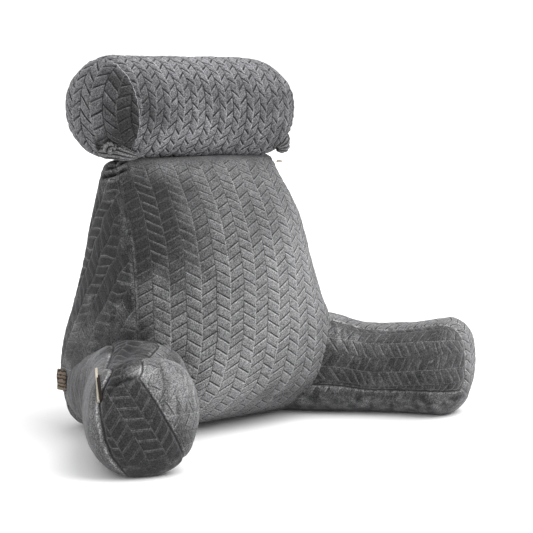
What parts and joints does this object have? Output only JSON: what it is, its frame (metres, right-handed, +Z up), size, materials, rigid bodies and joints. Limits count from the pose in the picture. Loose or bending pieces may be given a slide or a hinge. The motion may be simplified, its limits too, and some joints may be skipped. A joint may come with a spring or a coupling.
{
  "type": "reading pillow with arms",
  "caption": "Stuffed velour backrest pillow with splayed armrests and a cylindrical neck roll tied on top, quilted in a chevron relief.",
  "frame": {"origin": "middle of the overall box in X and Y, at the floor it stands on", "axes": "+Z up; -Y is the way the sitter faces, where the arms point; +X is to the viewer's right, seen from the front"},
  "size_m": [0.8677, 0.4663, 0.6356],
  "materials": {
    "velour_body": "embossed velour, charcoal grey",
    "velour_roll": "embossed velour, slightly lighter grey",
    "label_weave": "brown woven ribbon",
    "ribbon": "cream woven ribbon"
  },
  "bodies": {
    "root": {"backrest": "velour_body", "arm_left": "velour_body", "arm_right": "velour_body", "neck_roll": "velour_roll", "neck_tie_left": "velour_body", "neck_tie_right": "velour_body", "side_label": "label_weave", "seam_tab": "ribbon", "top_tab": "ribbon"}
  },
  "joints": []
}
